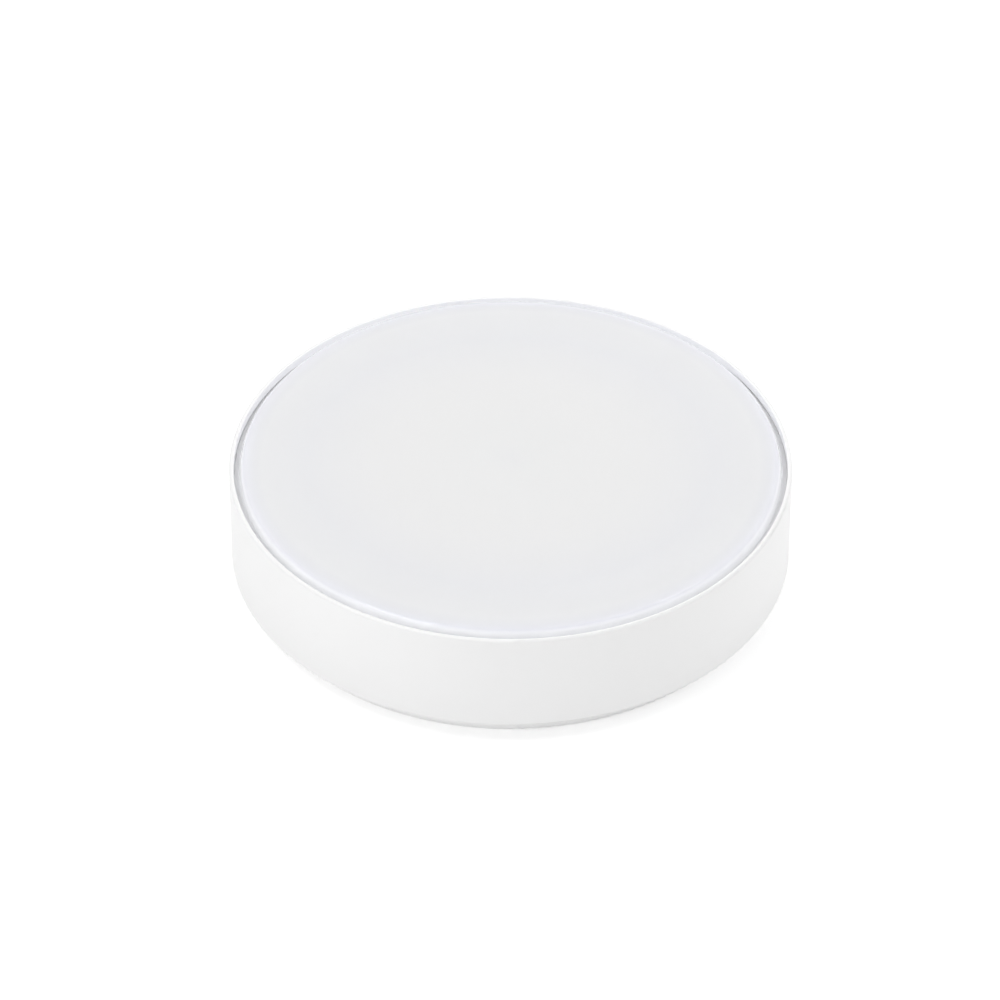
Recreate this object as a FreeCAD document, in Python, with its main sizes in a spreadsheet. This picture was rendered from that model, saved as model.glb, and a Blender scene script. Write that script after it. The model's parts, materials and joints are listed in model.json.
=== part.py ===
import FreeCAD, Part
import math
import os
import re
import Sketcher
from FreeCAD import Placement, Rotation, Vector

# Round light kit for a ceiling fan, lying on its back with the diffuser up.
# Millimetres, +Z up out of the diffuser. The origin is the centre of the fitter plate's back face.

SIZES = {
    # drum
    "drum_diameter": 180.0,
    "drum_wall_height": 34.0,
    "drum_sheet": 1.5,
    "drum_corner": 0.7,
    "drum_inner_corner": 0.8,
    "rim_round": 0.7,
    "rim_break": 0.3,
    "lead_hole": 16.0,
    # fitter plate, the foot under the drum
    "foot_height": 7.3,
    "foot_recess": 6.6,
    "plate_sheet": 1.2,
    "plate_corner": 0.8,
    "plate_inner_corner": 0.6,
    "plate_opening": 44.0,
    "collar_height": 3.4,
    "bead_inset": 10.5,
    "bead_foot": 3.6,
    "bead_crest": 2.0,
    "bead_rise": 0.6,
    "fan_screw_circle": 100.0,
    "fan_screw_hole": 4.8,
    "slot_circle": 84.0,
    "slot_span": 36.0,
    # joint between fitter plate and drum
    "drum_screw_inset": 9.2,
    "standoff_flats": 7.0,
    "standoff_stub": 5.4,
    "machine_thread": 4.0,
    "thread_clearance": 0.05,
    "hole_clearance": 0.3,
    "machine_head": 8.0,
    "machine_head_height": 2.5,
    "drum_screw_length": 7.0,
    # diffuser
    "diffuser_gap": 2.3,
    "diffuser_wall": 2.0,
    "diffuser_draft": 0.4,
    "diffuser_shoulder": 1.5,
    "diffuser_inner_round": 0.6,
    "diffuser_crown": 0.7,
    "diffuser_proud": 0.8,
    "flange_drop": 2.8,
    "flange_thickness": 1.8,
    "flange_clearance": 0.08,
    "snap_bead_level": 6.0,
    "snap_bead_width": 1.2,
    "snap_bead_depth": 1.2,
    "seal_thickness": 1.0,
    # spring clips that hold the diffuser
    "clip_set_back": 8.4,
    "clip_width": 10.0,
    "clip_strip": 0.6,
    "clip_foot": 9.0,
    "clip_play": 0.4,
    "clip_rise": 3.6,
    "rivet_shank": 3.0,
    "rivet_head": 5.4,
    "rivet_head_height": 1.2,
    "rivet_tail": 4.6,
    "rivet_tail_height": 1.4,
    # lead grommet
    "grommet_flange": 22.0,
    "grommet_flange_height": 1.9,
    "grommet_bore": 10.0,
    # gear tray
    "tray_inset": 22.0,
    "tray_headroom": 1.4,
    "tray_sheet": 1.0,
    "tray_slope": 3.5,
    "tray_flange": 9.0,
    "tray_bend": 1.6,
    "tray_screw_inset": 4.0,
    "sheet_thread": 3.5,
    "sheet_head": 6.4,
    "sheet_head_height": 2.2,
    "tray_screw_length": 6.0,
    # lamp board and what it carries
    "pad_thickness": 0.5,
    "pad_margin": 1.0,
    "board_margin": 3.0,
    "board_thickness": 1.6,
    "chip_circle": 64.0,
    "chip_count": 24,
    "chip_length": 3.5,
    "chip_width": 2.8,
    "chip_height": 0.7,
    "board_screw_inset": 7.0,
    "small_thread": 3.0,
    "small_head": 5.6,
    "small_head_height": 1.9,
    "board_screw_length": 5.0,
    "lead_gate": 9.0,
    "gate_diameter": 8.0,
    "bush_bore": 5.0,
    "bush_flange": 1.2,
    "connector_length": 9.0,
    "connector_width": 7.0,
    "connector_height": 4.4,
    "connector_reach": 8.0,
    # driver
    "insulation": 0.4,
    "insulation_margin": 1.0,
    "driver_length": 60.0,
    "driver_width": 27.0,
    "driver_height": 11.0,
    "driver_wall": 1.4,
    "driver_cover_thickness": 1.4,
    "driver_corner": 2.0,
    "driver_clearance": 0.8,
    "cover_lip": 1.6,
    "fit_gap": 0.2,
    "ear_length": 8.0,
    "ear_width": 9.0,
    "ear_thickness": 2.0,
    "rib_height": 2.0,
    "rib_width": 2.0,
    "driver_board_thickness": 1.2,
    "transformer_length": 15.0,
    "transformer_width": 12.0,
    "transformer_height": 5.6,
    "core_yoke": 2.2,
    "core_leg": 4.0,
    "capacitor_diameter": 5.6,
    "part_gap": 1.4,
    "part_edge": 2.4,
    "choke_diameter": 6.0,
    "choke_height": 5.0,
    "choke_waist": 1.0,
    "fuse_diameter": 3.4,
    "fuse_length": 9.0,
    "package_length": 5.0,
    "package_width": 4.0,
    "package_height": 1.6,
    # terminal block
    "pole_pitch": 10.0,
    "block_depth": 16.0,
    "block_height": 11.0,
    "block_margin": 5.0,
    "block_clearance": 10.0,
    "clamp_diameter": 5.0,
    "clamp_level": 5.0,
    "clamp_bore": 3.0,
    "clamp_screw": 2.6,
    "clamp_screw_head": 3.4,
    "clamp_screw_pitch": 8.0,
    # leads and earth
    "supply_lead": 2.2,
    "lamp_lead": 1.6,
    "lead_play": 0.3,
    "entry_inset": 8.0,
    "lead_pitch": 5.0,
    "lead_exit": 6.0,
    "lead_bow": 5.5,
    "earth_bow": 8.0,
    "lamp_bow": 9.0,
    "lead_spacing": 2.4,
    "earth_across": 36.0,
    "earth_along": 16.0,
    "tag_ring": 8.0,
    "tag_sheet": 0.8,
    "tag_barrel": 3.6,
    "tag_barrel_length": 5.0,
    "earth_screw_length": 5.0,
}

doc = FreeCAD.newDocument("fan_light_kit")
sheet = doc.addObject("Spreadsheet::Sheet", "Sizes")
for row, (alias, size) in enumerate(SIZES.items(), start=1):
    sheet.set(f"A{row}", alias)
    sheet.set(f"B{row}", str(size))
    sheet.setAlias(f"B{row}", alias)
doc.recompute()

size_word = re.compile(r"\b(" + "|".join(SIZES) + r")\b")
pieces = []


def in_sheet(text):
    return size_word.sub(r"Sizes.\1", text)


def value(text):
    return float(sheet.evalExpression(in_sheet(text)))


def bind(item, prop, text):
    item.setExpression(prop, in_sheet(text))


def piece(item, name):
    """A separate piece of the kit, which goes out in a file of this name."""
    item.Label = name
    pieces.append(item)
    return item


# Bodies made from sketches


def new_body(name, x="0", y="0", z="0"):
    body = doc.addObject("PartDesign::Body", name + "_body")
    for prop, text in (("x", x), ("y", y), ("z", z)):
        if text != "0":
            bind(body, "Placement.Base." + prop, text)
    return body


def new_sketch(body, name, plane, level="0"):
    sketch = body.newObject("Sketcher::SketchObject", name)
    support = next(o for o in body.Origin.OriginFeatures if o.Role == plane)
    sketch.AttachmentSupport = [(support, "")]
    sketch.MapMode = "FlatFace"
    if level != "0":
        bind(sketch, "AttachmentOffset.Base.z", level)
    return sketch


def hold(sketch, kind, item, end, text):
    """Ties one coordinate of a point to a size. The kind is DistanceX or DistanceY."""
    name = f"{kind[-1]}{item}_{end}"
    number = sketch.addConstraint(Sketcher.Constraint(kind, -1, 1, item, end, value(text)))
    sketch.renameConstraint(number, name)
    if size_word.search(text):
        bind(sketch, "Constraints." + name, text)


def pin(sketch, item, end, x, y):
    hold(sketch, "DistanceX", item, end, x)
    hold(sketch, "DistanceY", item, end, y)


def outline(body, name, plane, corners, arcs=None, level="0"):
    """A closed outline through its corners. Each side in arcs bulges up, about a centre at the given x."""
    sketch = new_sketch(body, name, plane, level)
    points = [Vector(value(x), value(y), 0) for x, y in corners]
    arcs = arcs or {}
    ends = {}
    for item, start in enumerate(points):
        stop = points[(item + 1) % len(points)]
        if item in arcs:
            x = value(arcs[item])
            squares = (stop.x - x) ** 2 - (start.x - x) ** 2 + stop.y ** 2 - start.y ** 2
            centre = Vector(x, squares / (2 * (stop.y - start.y)), 0)
            radius = centre.distanceToPoint(start)
            turn = sorted(math.atan2(p.y - centre.y, p.x - centre.x) for p in (start, stop))
            sketch.addGeometry(Part.ArcOfCircle(Part.Circle(centre, Vector(0, 0, 1), radius), *turn), False)
            hold(sketch, "DistanceX", item, 3, arcs[item])
            ends[item] = (2, 1) if start.x < stop.x else (1, 2)
        else:
            sketch.addGeometry(Part.LineSegment(start, stop), False)
            ends[item] = (1, 2)
    for item, (x, y) in enumerate(corners):
        before = (item - 1) % len(corners)
        sketch.addConstraint(Sketcher.Constraint("Coincident", before, ends[before][1], item, ends[item][0]))
        pin(sketch, item, ends[item][0], x, y)
    return sketch


def circles(body, name, plane, holes, level="0"):
    """A sketch of circles, each given by two coordinates and a diameter."""
    sketch = new_sketch(body, name, plane, level)
    for item, (x, y, diameter) in enumerate(holes):
        centre = Vector(value(x), value(y), 0)
        sketch.addGeometry(Part.Circle(centre, Vector(0, 0, 1), value(diameter) / 2), False)
        pin(sketch, item, 3, x, y)
        number = sketch.addConstraint(Sketcher.Constraint("Diameter", item, value(diameter)))
        sketch.renameConstraint(number, f"across_{item}")
        bind(sketch, f"Constraints.across_{item}", diameter)
    return sketch


def revolve(body, name, corners, arcs=None):
    sketch = outline(body, name + "_profile", "XZ_Plane", corners, arcs)
    turned = body.newObject("PartDesign::Revolution", name + "_revolution")
    turned.Profile = sketch
    turned.ReferenceAxis = (sketch, ["V_Axis"])
    turned.Angle = 360
    doc.recompute()
    return turned


def pad(body, sketch, length, midplane=False, reverse=False):
    raised = body.newObject("PartDesign::Pad", sketch.Name + "_pad")
    raised.Profile = sketch
    raised.Midplane = midplane
    raised.Reversed = reverse
    bind(raised, "Length", length)
    doc.recompute()
    return raised


def pocket(body, sketch, depth=None, reverse=False, midplane=False):
    """Cuts to a depth, or right through. A cut that takes nothing away is an error."""
    before = body.Shape.Volume
    cut = body.newObject("PartDesign::Pocket", sketch.Name + "_pocket")
    cut.Profile = sketch
    cut.Reversed = reverse
    cut.Midplane = midplane
    if depth is None:
        cut.Type = "ThroughAll"
    else:
        bind(cut, "Length", depth)
    doc.recompute()
    if body.Shape.Volume > before - 1e-6:
        raise ValueError(sketch.Name + " cuts nothing")
    return cut


def around(body, feature, count="3"):
    """Repeats a feature round the body's vertical axis."""
    pattern = body.newObject("PartDesign::PolarPattern", feature.Name + "_pattern")
    pattern.Originals = [feature]
    axis = next(o for o in body.Origin.OriginFeatures if o.Role == "Z_Axis")
    pattern.Axis = (axis, [""])
    pattern.Angle = 360
    bind(pattern, "Occurrences", count)
    body.Tip = pattern
    doc.recompute()
    return pattern


def drill(body, name, holes):
    """Round holes right through, along the vertical axis."""
    sketch = circles(body, name, "XY_Plane", holes)
    return pocket(body, sketch, midplane=True)


def soften(body, name, radius, picked):
    """Rounds the edges of the body that picked chooses."""
    base = body.Tip
    edges = [f"Edge{k}" for k, edge in enumerate(base.Shape.Edges, start=1) if picked(edge)]
    fillet = body.newObject("PartDesign::Fillet", name)
    fillet.Base = (base, edges)
    bind(fillet, "Radius", radius)
    doc.recompute()
    return fillet


def ring_at(radius, level):
    """Picks the round edges of this radius at this height."""
    wanted, height = value(radius), value(level)

    def picked(edge):
        if edge.Degenerated or not isinstance(edge.Curve, Part.Circle):
            return False
        near = abs(edge.Curve.Radius - wanted) < 1e-4
        return near and abs(edge.Curve.Center.z - height) < 1e-4

    return picked


def upright(edge):
    first, last = edge.Vertexes[0].Point, edge.Vertexes[-1].Point
    return isinstance(edge.Curve, Part.Line) and (first - last).Length - abs(first.z - last.z) < 1e-6


# Plain solids


def block(name, length, width, height, x, y, z):
    """A box centred on x and y, standing on z."""
    box = doc.addObject("Part::Box", name)
    for prop, text in (("Length", length), ("Width", width), ("Height", height)):
        bind(box, prop, text)
    bind(box, "Placement.Base.x", f"{x} - ({length}) / 2")
    bind(box, "Placement.Base.y", f"{y} - ({width}) / 2")
    bind(box, "Placement.Base.z", z)
    return box


def rod(name, diameter, length, x, y, z, along="z"):
    """A cylinder that starts at x, y, z and runs along one axis."""
    cylinder = doc.addObject("Part::Cylinder", name)
    axis = {"x": Vector(1, 0, 0), "y": Vector(0, 1, 0), "z": Vector(0, 0, 1)}[along]
    cylinder.Placement = Placement(Vector(0, 0, 0), Rotation(Vector(0, 0, 1), axis))
    bind(cylinder, "Radius", f"({diameter}) / 2")
    bind(cylinder, "Height", length)
    for prop, text in (("x", x), ("y", y), ("z", z)):
        bind(cylinder, "Placement.Base." + prop, text)
    return cylinder


def join(name, items):
    fused = doc.addObject("Part::MultiFuse", name)
    fused.Shapes = items
    return fused


def cut_out(name, base, tools):
    cut = doc.addObject("Part::Cut", name)
    cut.Base = base
    cut.Tool = tools[0] if len(tools) == 1 else join(name + "_tools", tools)
    return cut


def group(name, items):
    compound = doc.addObject("Part::Compound", name)
    compound.Links = items
    return piece(compound, name)


def copies(name, master, places):
    """Like pieces, one for each place, each place being x, y, z and a turn about the vertical."""
    links = []
    for number, (x, y, z, turn) in enumerate(places, start=1):
        link = doc.addObject("App::Link", f"{name}_{number}")
        link.LinkedObject = master
        link.LinkPlacement = Placement(Vector(0, 0, 0), Rotation(Vector(0, 0, 1), turn))
        for prop, text in (("x", x), ("y", y), ("z", z)):
            bind(link, "LinkPlacement.Base." + prop, text)
        links.append(link)
    return group(name, links)


def on_circle(circle, first, count, z):
    """Places on a circle of this diameter, the first at this angle."""
    turns = [first + 360 / count * number for number in range(count)]
    return [(f"{circle} / 2 * cos({turn})", f"{circle} / 2 * sin({turn})", z, turn) for turn in turns]


def pan_screw(name, thread, head, head_height, length):
    """A pan head screw, its head's underside at zero and its shank pointing down."""
    body = new_body(name)
    shank = f"({thread} / 2 - thread_clearance)"
    tip = "0.5"
    revolve(body, name, [
        ("0", head_height), (f"{head} / 2", head_height), (f"{head} / 2", "0"), (shank, "0"),
        (shank, f"-({length} - {tip})"), (f"{shank} - {tip}", f"-{length}"), ("0", f"-{length}"),
    ])
    soften(body, name + "_crown", f"{head_height} * 0.55", ring_at(f"{head} / 2", head_height))
    arm, blade = f"{head} * 0.27", f"{head} * 0.07"
    cross = [
        (arm, blade), (blade, blade), (blade, arm),
        ("-" + blade, arm), ("-" + blade, blade), ("-" + arm, blade),
        ("-" + arm, "-" + blade), ("-" + blade, "-" + blade), ("-" + blade, "-" + arm),
        (blade, "-" + arm), (blade, "-" + blade), (arm, "-" + blade),
    ]
    recess = outline(body, name + "_cross", "XY_Plane", cross, level=head_height)
    pocket(body, recess, f"{head_height} * 0.55")
    return body


# Levels and radii that several pieces share

DRUM_FLOOR = "(foot_height + drum_sheet)"
RIM = "(foot_height + drum_wall_height)"
DRUM_RADIUS = "(drum_diameter / 2)"
DRUM_INSIDE = "(drum_diameter / 2 - drum_sheet)"
FOOT_RADIUS = "(drum_diameter / 2 - foot_recess)"
FACE = f"({RIM} + diffuser_proud)"
FACE_RADIUS = f"({DRUM_INSIDE} - diffuser_gap)"
SKIRT_FOOT = f"({DRUM_FLOOR} + seal_thickness)"
SKIRT_RADIUS = f"({FACE_RADIUS} + diffuser_draft)"
SKIRT_INSIDE = f"({SKIRT_RADIUS} - diffuser_wall)"
BEAD_LOW = f"({SKIRT_FOOT} + snap_bead_level)"
BEAD_TOP = f"({BEAD_LOW} + snap_bead_width)"
BEAD_RADIUS = f"({SKIRT_INSIDE} - snap_bead_depth)"
DRUM_SCREW_CIRCLE = f"(2 * ({FOOT_RADIUS} - plate_sheet - drum_screw_inset))"
CLIP_CIRCLE = f"(2 * ({BEAD_RADIUS} - clip_set_back))"
TRAY_EDGE = f"({DRUM_INSIDE} - tray_inset)"
TRAY_FOOT_RADIUS = f"({TRAY_EDGE} - tray_flange)"
TRAY_TOP_RADIUS = f"({TRAY_FOOT_RADIUS} - tray_slope)"
TRAY_SCREW_CIRCLE = f"(2 * ({TRAY_EDGE} - tray_screw_inset))"
BOARD_RADIUS = f"({TRAY_TOP_RADIUS} - board_margin)"
BOARD_SCREW_CIRCLE = f"(2 * ({BOARD_RADIUS} - board_screw_inset))"
DRIVER_FOOT = f"({DRUM_FLOOR} + insulation)"
DRIVER_TOP = f"({DRIVER_FOOT} + driver_height)"
TRAY_TOP = f"({DRIVER_TOP} + driver_cover_thickness + tray_headroom + tray_sheet)"
BOARD_LOW = f"({TRAY_TOP} + pad_thickness)"
BOARD_TOP = f"({BOARD_LOW} + board_thickness)"
DRIVER_BOARD_TOP = f"({DRIVER_FOOT} + driver_wall + rib_height + driver_board_thickness)"
DRIVER_PLACE = "(grommet_flange / 2 + driver_clearance + insulation_margin + driver_width / 2)"
EAR_REACH = "((driver_length + ear_length) / 2)"
CLAMP_LINE = f"({DRUM_FLOOR} + clamp_level)"
BLOCK_PLACE = "(grommet_flange / 2 + block_clearance + block_depth / 2)"
POLES = ("-pole_pitch", "0", "pole_pitch")
CONNECTOR_FACE = "(lead_gate + connector_reach)"
CONNECTOR_LINE = f"({BOARD_TOP} + connector_height / 2)"
CASE_LENGTH_INSIDE = "(driver_length - 2 * driver_wall)"
CASE_WIDTH_INSIDE = "(driver_width - 2 * driver_wall)"
BOARD_LEVEL = "(driver_wall + rib_height + driver_board_thickness)"
ENTRY_PLACE = "(driver_length / 2 - entry_inset)"
INPUTS = ("-" + ENTRY_PLACE, f"lead_pitch - {ENTRY_PLACE}")
OUTPUTS = (f"{ENTRY_PLACE} - lead_pitch", ENTRY_PLACE)
PARTS_START = f"(part_edge - {CASE_LENGTH_INSIDE} / 2)"
CAPACITOR_LENGTH = f"(({CASE_LENGTH_INSIDE} - transformer_length - 2 * part_edge - 3 * part_gap) / 3)"
TRANSFORMER_START = f"({PARTS_START} + 2 * ({CAPACITOR_LENGTH} + part_gap))"
TRANSFORMER_PLACE = f"({TRANSFORMER_START} + transformer_length / 2)"
WINDOW_LENGTH = "(transformer_length - 2 * core_yoke)"
WINDOW_WIDTH = "(transformer_width - 2 * core_yoke)"
SCREW_TURN = 90
CLIP_TURN = 30


# Drum


def make_drum():
    """Spun drum: base and wall in one piece, with a thin rounded rim."""
    body = new_body("drum")
    revolve(body, "drum", [
        ("lead_hole / 2", "foot_height"), (DRUM_RADIUS, "foot_height"), (DRUM_RADIUS, RIM),
        (DRUM_INSIDE, RIM), (DRUM_INSIDE, DRUM_FLOOR), ("lead_hole / 2", DRUM_FLOOR),
    ])
    soften(body, "drum_corner_round", "drum_corner", ring_at(DRUM_RADIUS, "foot_height"))
    soften(body, "drum_inner_round", "drum_inner_corner", ring_at(DRUM_INSIDE, DRUM_FLOOR))
    soften(body, "rim_outer_round", "rim_round", ring_at(DRUM_RADIUS, RIM))
    soften(body, "rim_inner_round", "rim_break", ring_at(DRUM_INSIDE, RIM))
    screw_x, screw_y, _, _ = on_circle(DRUM_SCREW_CIRCLE, SCREW_TURN, 1, "0")[0]
    around(body, drill(body, "drum_screw_holes", [(screw_x, screw_y, "machine_thread + hole_clearance")]))
    tray_x, tray_y, _, _ = on_circle(TRAY_SCREW_CIRCLE, CLIP_TURN, 1, "0")[0]
    around(body, drill(body, "tray_screw_holes", [(tray_x, tray_y, "sheet_thread")]))
    clip_x, clip_y, _, _ = on_circle(CLIP_CIRCLE, CLIP_TURN, 1, "0")[0]
    around(body, drill(body, "rivet_holes", [(clip_x, clip_y, "rivet_shank + thread_clearance * 2")]))
    drill(body, "gear_holes", [
        ("-" + EAR_REACH, DRIVER_PLACE, "small_thread"), (EAR_REACH, DRIVER_PLACE, "small_thread"),
        ("-pole_pitch / 2", "-" + BLOCK_PLACE, "small_thread"),
        ("earth_across", "-earth_along", "machine_thread"),
    ])
    return piece(body, "drum")


# Fitter plate, standoffs and drum screws


def make_fitter_plate():
    """Pressed dish that screws to the fan: a flanged opening, a stiffening bead, round holes and slots."""
    body = new_body("fitter_plate")
    wall_inside = f"({FOOT_RADIUS} - plate_sheet)"
    bead, top = f"({DRUM_SCREW_CIRCLE} / 2 - bead_inset)", "plate_sheet"
    revolve(body, "fitter_plate", [
        ("plate_opening / 2", "0"),
        (f"{bead} - bead_foot / 2", "0"), (f"{bead} - bead_crest / 2", "bead_rise"),
        (f"{bead} + bead_crest / 2", "bead_rise"), (f"{bead} + bead_foot / 2", "0"),
        (FOOT_RADIUS, "0"), (FOOT_RADIUS, "foot_height"), (wall_inside, "foot_height"), (wall_inside, top),
        (f"{bead} + bead_foot / 2", top), (f"{bead} + bead_crest / 2", f"{top} + bead_rise"),
        (f"{bead} - bead_crest / 2", f"{top} + bead_rise"), (f"{bead} - bead_foot / 2", top),
        ("plate_opening / 2 + plate_sheet", top), ("plate_opening / 2 + plate_sheet", "collar_height"),
        ("plate_opening / 2", "collar_height"),
    ])
    soften(body, "plate_round", "plate_corner", ring_at(FOOT_RADIUS, "0"))
    soften(body, "plate_inner_round", "plate_inner_corner", ring_at(wall_inside, top))
    soften(body, "collar_round", "plate_inner_corner", ring_at("plate_opening / 2", "0"))
    standoff_x, standoff_y, _, _ = on_circle(DRUM_SCREW_CIRCLE, SCREW_TURN, 1, "0")[0]
    around(body, drill(body, "standoff_holes", [(standoff_x, standoff_y, "standoff_stub")]))
    hole_x, hole_y, _, _ = on_circle("fan_screw_circle", CLIP_TURN, 1, "0")[0]
    around(body, drill(body, "fan_screw_holes", [(hole_x, hole_y, "fan_screw_hole")]))
    around(body, pocket(body, curved_slot(body), midplane=True))
    return piece(body, "fitter_plate")


def curved_slot(body):
    """A slot along a smaller circle, for fans whose holes are nearer the middle."""
    sketch = new_sketch(body, "curved_slot", "XY_Plane")
    radius, half_width = value("slot_circle / 2"), value("fan_screw_hole / 2")
    half_span = value("slot_span / 2")
    low, high = math.radians(SCREW_TURN - half_span), math.radians(SCREW_TURN + half_span)
    up = Vector(0, 0, 1)
    for arc_radius in (radius + half_width, radius - half_width):
        sketch.addGeometry(Part.ArcOfCircle(Part.Circle(Vector(0, 0, 0), up, arc_radius), low, high), False)
    for angle, start in ((high, high), (low, low + math.pi)):
        centre = Vector(radius * math.cos(angle), radius * math.sin(angle), 0)
        end = Part.ArcOfCircle(Part.Circle(centre, up, half_width), start, start + math.pi)
        sketch.addGeometry(end, False)
    for arc in (0, 1):
        sketch.addConstraint(Sketcher.Constraint("Coincident", arc, 3, -1, 1))
    for arc, point, end, tip in ((0, 2, 2, 1), (1, 2, 2, 2), (1, 1, 3, 1), (0, 1, 3, 2)):
        sketch.addConstraint(Sketcher.Constraint("Tangent", arc, point, end, tip))
    for name, item, size in (
        ("outer", 0, "slot_circle / 2 + fan_screw_hole / 2"),
        ("inner", 1, "slot_circle / 2 - fan_screw_hole / 2"),
    ):
        number = sketch.addConstraint(Sketcher.Constraint("Radius", item, value(size)))
        sketch.renameConstraint(number, name)
        bind(sketch, "Constraints." + name, size)
    for end, sign in ((2, "+"), (3, "-")):
        hold(sketch, "DistanceX", end, 3, f"slot_circle / 2 * cos({SCREW_TURN} {sign} slot_span / 2)")
    return sketch


def make_standoffs():
    """Hexagon standoffs clinched in the plate, threaded right through, their stubs flush with its back."""
    prism = doc.addObject("Part::Prism", "standoff_hexagon")
    prism.Polygon = 6
    bind(prism, "Circumradius", "standoff_flats / sqrt(3)")
    bind(prism, "Height", "foot_height - plate_sheet")
    bind(prism, "Placement.Base.z", "plate_sheet")
    stub = rod("standoff_stub_rod", "standoff_stub", "plate_sheet", "0", "0", "0")
    bore = rod("standoff_bore", "machine_thread", "foot_height", "0", "0", "0")
    standoff = cut_out("standoff", join("standoff_blank", [prism, stub]), [bore])
    return copies("plate_standoffs", standoff, on_circle(DRUM_SCREW_CIRCLE, SCREW_TURN, 3, "0"))


def make_drum_screws():
    screw = pan_screw(
        "drum_screw", "machine_thread", "machine_head", "machine_head_height", "drum_screw_length")
    return copies("drum_screws", screw, on_circle(DRUM_SCREW_CIRCLE, SCREW_TURN, 3, DRUM_FLOOR))


def make_lead_grommet():
    """Rubber grommet, its groove on the edge of the hole in the drum's base."""
    body = new_body("lead_grommet")
    low, high = "(foot_height - grommet_flange_height)", f"({DRUM_FLOOR} + grommet_flange_height)"
    flange, groove, bore = "grommet_flange / 2", "lead_hole / 2", "grommet_bore / 2"
    revolve(body, "lead_grommet", [
        (bore, low), (flange, low), (flange, "foot_height"), (groove, "foot_height"), (groove, DRUM_FLOOR),
        (flange, DRUM_FLOOR), (flange, high), (bore, high),
    ])
    soften(body, "grommet_low_round", "grommet_flange_height * 0.6", ring_at(flange, low))
    soften(body, "grommet_high_round", "grommet_flange_height * 0.6", ring_at(flange, high))
    return piece(body, "lead_grommet")


# Diffuser, its seal and its clips


def make_diffuser():
    """Opal moulding: a slightly crowned face with a rounded shoulder, over a skirt with a snap bead inside. The
    flange round the skirt centres it in the drum."""
    body = new_body("diffuser")
    flange_edge = f"({DRUM_INSIDE} - flange_clearance)"
    flange_top = f"({RIM} - flange_drop)"
    flange_foot = f"({flange_top} - flange_thickness)"
    flat, face_inside = f"({FACE_RADIUS} - diffuser_shoulder)", f"({FACE_RADIUS} - diffuser_wall)"
    flat_inside, ceiling = f"({face_inside} - diffuser_inner_round)", f"({FACE} - diffuser_wall)"
    revolve(body, "diffuser", [
        ("0", f"{FACE} + diffuser_crown"), (flat, FACE), (FACE_RADIUS, f"{FACE} - diffuser_shoulder"),
        (SKIRT_RADIUS, flange_top), (flange_edge, flange_top), (flange_edge, flange_foot),
        (SKIRT_RADIUS, flange_foot), (SKIRT_RADIUS, SKIRT_FOOT), (SKIRT_INSIDE, SKIRT_FOOT),
        (SKIRT_INSIDE, BEAD_LOW), (BEAD_RADIUS, f"{BEAD_LOW} + snap_bead_width / 3"),
        (BEAD_RADIUS, f"{BEAD_TOP} - snap_bead_width / 3"), (SKIRT_INSIDE, BEAD_TOP),
        (face_inside, f"{ceiling} - diffuser_inner_round"),
        (flat_inside, ceiling), ("0", f"{ceiling} + diffuser_crown"),
    ], arcs={0: "0", 1: flat, 13: flat_inside, 14: "0"})
    return piece(body, "diffuser")


def make_dust_seal():
    body = new_body("dust_seal")
    revolve(body, "dust_seal", [
        (SKIRT_INSIDE, DRUM_FLOOR), (SKIRT_RADIUS, DRUM_FLOOR),
        (SKIRT_RADIUS, SKIRT_FOOT), (SKIRT_INSIDE, SKIRT_FOOT),
    ])
    return piece(body, "dust_seal")


def make_diffuser_clips():
    """Spring strips riveted to the base. Each hump stands over the diffuser's snap bead."""
    body = new_body("diffuser_clip")
    arm = f"({BEAD_RADIUS} - 2 * clip_play)"
    hump = f"({SKIRT_INSIDE} - clip_play)"
    lead_in = f"({arm} - clip_play * 2)"
    foot_end = f"({CLIP_CIRCLE} / 2 - clip_foot / 2)"
    below, peak = f"({BEAD_TOP} - clip_play)", f"({BEAD_TOP} + clip_play * 3)"
    top = f"({peak} + clip_rise)"
    profile = outline(body, "diffuser_clip_profile", "XZ_Plane", [
        (foot_end, DRUM_FLOOR), (arm, DRUM_FLOOR), (arm, below), (hump, peak), (lead_in, top),
        (f"{lead_in} - clip_strip", top), (f"{hump} - clip_strip", peak), (f"{arm} - clip_strip", below),
        (f"{arm} - clip_strip", f"{DRUM_FLOOR} + clip_strip"), (foot_end, f"{DRUM_FLOOR} + clip_strip"),
    ])
    pad(body, profile, "clip_width", midplane=True)
    drill(body, "clip_hole", [(f"{CLIP_CIRCLE} / 2", "0", "rivet_shank + thread_clearance * 2")])
    return copies("diffuser_clips", body, [("0", "0", "0", CLIP_TURN + 120 * number) for number in range(3)])


def make_clip_rivets():
    """Closed rivets, the dome on the clip and the set tail under the base."""
    body = new_body("clip_rivet")
    seat, under = f"({DRUM_FLOOR} + clip_strip)", "foot_height"
    head, shank, tail = "rivet_head / 2", "rivet_shank / 2", "rivet_tail / 2"
    revolve(body, "clip_rivet", [
        ("0", f"{seat} + rivet_head_height"), (head, seat), (shank, seat), (shank, under), (tail, under),
        (tail, f"{under} - rivet_tail_height"), ("0", f"{under} - rivet_tail_height"),
    ], arcs={0: "0"})
    soften(body, "rivet_tail_round", "rivet_tail_height * 0.4", ring_at(tail, f"{under} - rivet_tail_height"))
    return copies("clip_rivets", body, on_circle(CLIP_CIRCLE, CLIP_TURN, 3, "0"))


# Gear tray


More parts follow.
